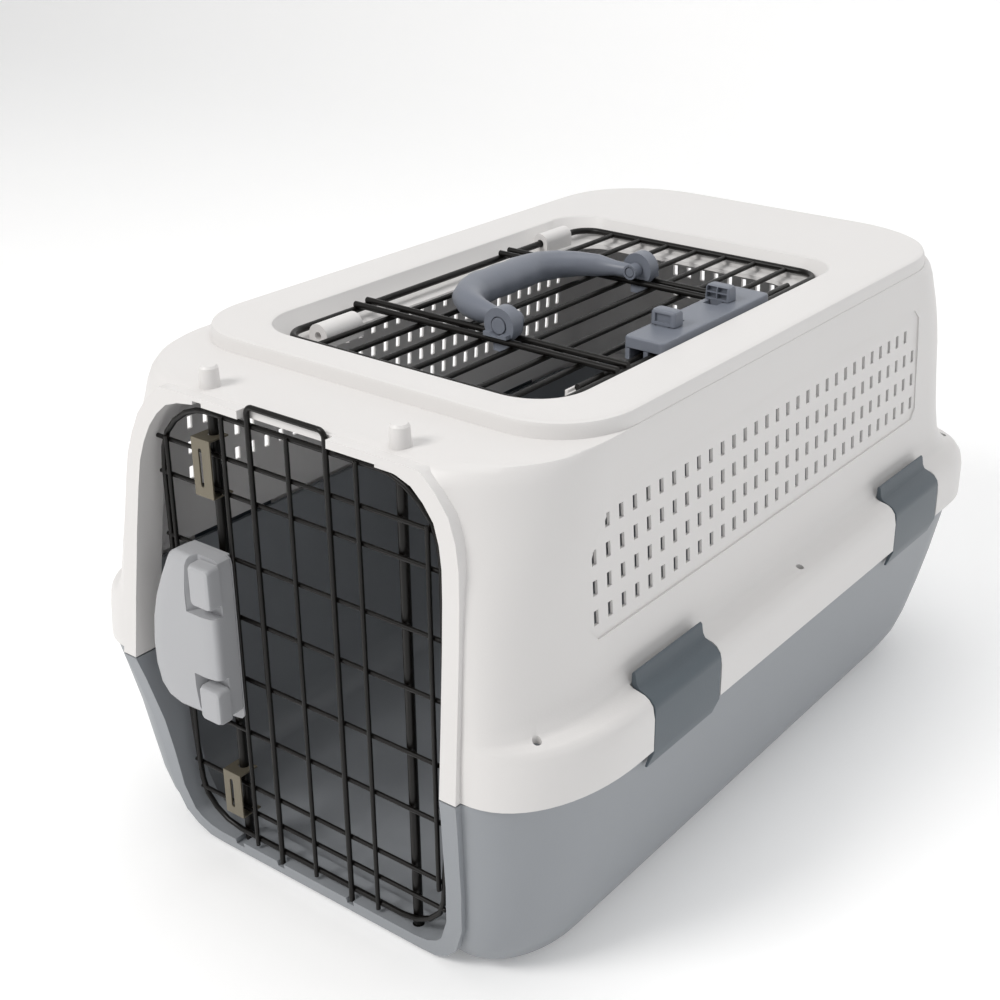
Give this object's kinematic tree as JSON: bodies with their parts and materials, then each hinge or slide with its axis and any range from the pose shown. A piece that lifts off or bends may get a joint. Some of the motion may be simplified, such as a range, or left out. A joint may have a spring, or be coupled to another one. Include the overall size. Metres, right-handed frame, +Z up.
{
  "type": "pet transport carrier",
  "caption": "Two-part plastic pet carrier with a wire front door, a wire top door, squeeze latches, side clips and a folding handle.",
  "frame": {"origin": "centre of the footprint, on the plane the tub stands on", "axes": "-Y is the front with the wire door, +X is the right side as seen facing the front door, +Z is up"},
  "size_m": [0.32, 0.4906, 0.2882],
  "materials": {
    "shell_white_plastic": "warm white moulded shell with a soft sheen",
    "tub_grey_plastic": "mid grey moulded tub with a soft sheen",
    "clip_grey_plastic": "dark grey moulded clip",
    "latch_pale_grey_plastic": "pale grey moulded latch",
    "handle_grey_plastic": "blue grey moulded handle and top latch",
    "wire_black_coating": "black coated steel wire",
    "guide_plate_steel": "bronze toned pressed steel",
    "spring_steel": "bright spring wire"
  },
  "bodies": {
    "bottom": {"bottom_shell": "tub_grey_plastic"},
    "top": {"top_shell": "shell_white_plastic"},
    "clip_fl": {"clip_front_left": "clip_grey_plastic"},
    "clip_fr": {"clip_front_right": "clip_grey_plastic"},
    "clip_rl": {"clip_rear_left": "clip_grey_plastic"},
    "clip_rr": {"clip_rear_right": "clip_grey_plastic"},
    "front_door": {"front_door_grid": "wire_black_coating", "front_door_hinge_rod": "wire_black_coating", "front_guide_plate_upper": "guide_plate_steel", "front_guide_plate_lower": "guide_plate_steel", "front_latch_cover": "latch_pale_grey_plastic", "front_latch_back_plate": "latch_pale_grey_plastic", "front_latch_spring": "spring_steel"},
    "front_latch_upper": {"front_latch_button_upper": "latch_pale_grey_plastic", "front_latch_rod_upper": "wire_black_coating"},
    "front_latch_lower": {"front_latch_button_lower": "latch_pale_grey_plastic", "front_latch_rod_lower": "wire_black_coating"},
    "top_door": {"top_door_grid": "wire_black_coating", "top_latch_cover": "handle_grey_plastic", "top_latch_base": "handle_grey_plastic", "handle_bracket_front": "handle_grey_plastic", "handle_bracket_rear": "handle_grey_plastic"},
    "top_latch_front": {"top_latch_tab_front": "handle_grey_plastic", "top_latch_bolt_front": "wire_black_coating"},
    "top_latch_rear": {"top_latch_tab_rear": "handle_grey_plastic", "top_latch_bolt_rear": "wire_black_coating"},
    "handle": {"handle_grip": "handle_grey_plastic", "handle_pin_front": "handle_grey_plastic", "handle_pin_rear": "handle_grey_plastic"}
  },
  "joints": [
    {"name": "top_shell_lift", "type": "slide", "parent": "bottom", "child": "top", "axis": [0, 0, 1], "range_m": [0, 0.2]},
    {"name": "clip_front_left_hinge", "type": "hinge", "parent": "bottom", "child": "clip_fl", "pos_m": [-0.157, -0.125, 0.109], "axis": [0, -1, 0], "range_deg": [0, 12]},
    {"name": "clip_front_right_hinge", "type": "hinge", "parent": "bottom", "child": "clip_fr", "pos_m": [0.157, -0.125, 0.109], "axis": [0, 1, 0], "range_deg": [0, 12]},
    {"name": "clip_rear_left_hinge", "type": "hinge", "parent": "bottom", "child": "clip_rl", "pos_m": [-0.157, 0.1362, 0.109], "axis": [0, -1, 0], "range_deg": [0, 12]},
    {"name": "clip_rear_right_hinge", "type": "hinge", "parent": "bottom", "child": "clip_rr", "pos_m": [0.157, 0.1362, 0.109], "axis": [0, 1, 0], "range_deg": [0, 12]},
    {"name": "front_door_hinge", "type": "hinge", "parent": "bottom", "child": "front_door", "pos_m": [0.065, -0.22, 0.13], "axis": [0, 0, 1], "range_deg": [0, 110]},
    {"name": "front_latch_upper_slide", "type": "slide", "parent": "front_door", "child": "front_latch_upper", "axis": [0, 0, -1], "range_m": [0, 0.005], "stiffness_N_per_m": 400, "springref_m": -0.004, "deforming": ["front_latch_spring"]},
    {"name": "front_latch_lower_slide", "type": "slide", "parent": "front_door", "child": "front_latch_lower", "axis": [0, 0, 1], "range_m": [0, 0.005], "stiffness_N_per_m": 400, "springref_m": -0.004},
    {"name": "top_door_hinge", "type": "hinge", "parent": "top", "child": "top_door", "pos_m": [-0.085, 0, 0.2682], "axis": [0, -1, 0], "range_deg": [0, 105]},
    {"name": "top_latch_front_slide", "type": "slide", "parent": "top_door", "child": "top_latch_front", "axis": [0, 1, 0], "range_m": [0, 0.006], "stiffness_N_per_m": 300, "springref_m": -0.004},
    {"name": "top_latch_rear_slide", "type": "slide", "parent": "top_door", "child": "top_latch_rear", "axis": [0, -1, 0], "range_m": [0, 0.006], "stiffness_N_per_m": 300, "springref_m": -0.004},
    {"name": "handle_hinge", "type": "hinge", "parent": "top_door", "child": "handle", "pos_m": [0.0142, 0, 0.2786], "axis": [0, 1, 0], "range_deg": [0, 150]}
  ]
}
